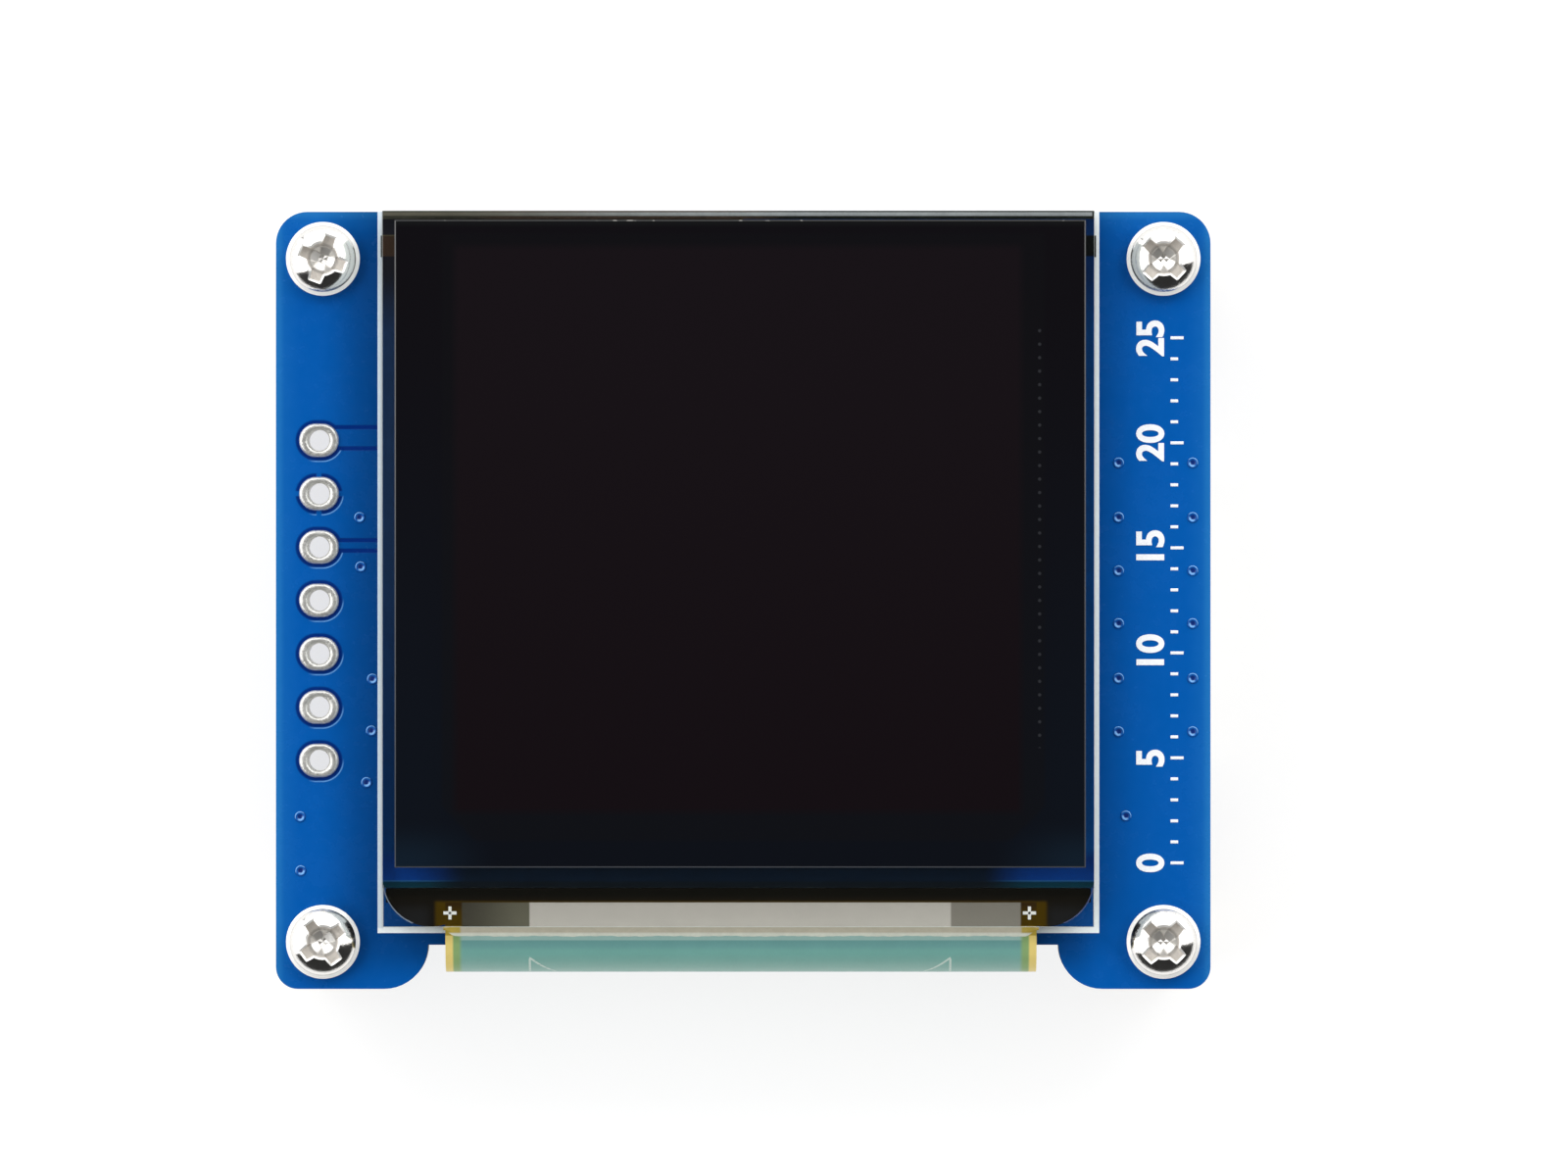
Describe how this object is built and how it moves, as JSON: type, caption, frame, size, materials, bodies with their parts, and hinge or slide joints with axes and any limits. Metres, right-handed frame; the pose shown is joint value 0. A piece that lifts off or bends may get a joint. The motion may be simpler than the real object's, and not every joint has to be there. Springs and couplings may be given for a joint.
{
  "type": "oled display module",
  "caption": "Square colour OLED panel taped to a blue circuit board, with its film folded round the board's notched edge, a plated header row, corner screws and hex standoffs.",
  "frame": {"origin": "centre of the board outline, on the plane of the standoffs' feet", "axes": "+X along the board's longer side, away from the header row; +Y towards the top of the screen, away from the folded film; +Z out of the screen"},
  "size_m": [0.0446, 0.037, 0.0097],
  "materials": {
    "board": "gloss solder mask over glass fibre",
    "solder": "tinned copper",
    "screw": "bright nickel plate",
    "standoff": "turned brass",
    "polarizer": "gloss film",
    "panel_glass": "clear polished",
    "pixel_array": "mirror black",
    "panel_seal": "clear grey adhesive",
    "desiccant": "chalky sheet",
    "tape": "black foam",
    "sealant": "dark resin",
    "film": "polyimide film with plated traces",
    "driver_chip": "bare silicon",
    "stiffener": "amber polyimide",
    "connector_white": "natural nylon",
    "connector_latch": "black nylon",
    "contact_gold": "gold flash",
    "tin_lead": "matte tin",
    "chip_black": "moulded epoxy",
    "ferrite": "ferrite",
    "capacitor": "fired ceramic",
    "resistor": "glazed"
  },
  "bodies": {
    "module": {"pcb": "board", "header_pad_1": "solder", "header_pad_2": "solder", "header_pad_3": "solder", "header_pad_4": "solder", "header_pad_5": "solder", "header_pad_6": "solder", "header_pad_7": "solder", "standoff_1": "standoff", "standoff_2": "standoff", "standoff_3": "standoff", "standoff_4": "standoff", "screws": "screw", "polarizer": "polarizer", "front_glass": "panel_glass", "back_glass": "panel_glass", "pixel_array": "pixel_array", "glass_seal": "panel_seal", "desiccant_sheet": "desiccant", "display_tape": "tape", "ledge_sealant": "sealant", "display_film": "film", "driver_chip": "driver_chip", "tail_stiffener": "stiffener", "film_connector_housing": "connector_white", "film_connector_contacts": "contact_gold", "film_connector_tabs": "tin_lead", "wire_connector_housing": "connector_white", "wire_connector_pins": "tin_lead", "wire_connector_tabs": "tin_lead", "inductor_core": "ferrite", "inductor_terminals": "tin_lead", "diode_body": "chip_black", "diode_leads": "tin_lead", "booster_body": "chip_black", "booster_leads": "tin_lead", "regulator_body": "chip_black", "regulator_leads": "tin_lead", "level_shifter_body": "chip_black", "level_shifter_leads": "tin_lead", "capacitor_bodies": "capacitor", "capacitor_ends": "tin_lead", "resistor_bodies": "resistor", "resistor_ends": "tin_lead"},
    "latch": {"film_connector_latch": "connector_latch"}
  },
  "joints": [
    {"name": "latch_hinge", "type": "hinge", "parent": "module", "child": "latch", "pos_m": [-0.00011, -0.00355, 0.0046], "axis": [-1, 0, 0], "range_deg": [0, 90]}
  ]
}
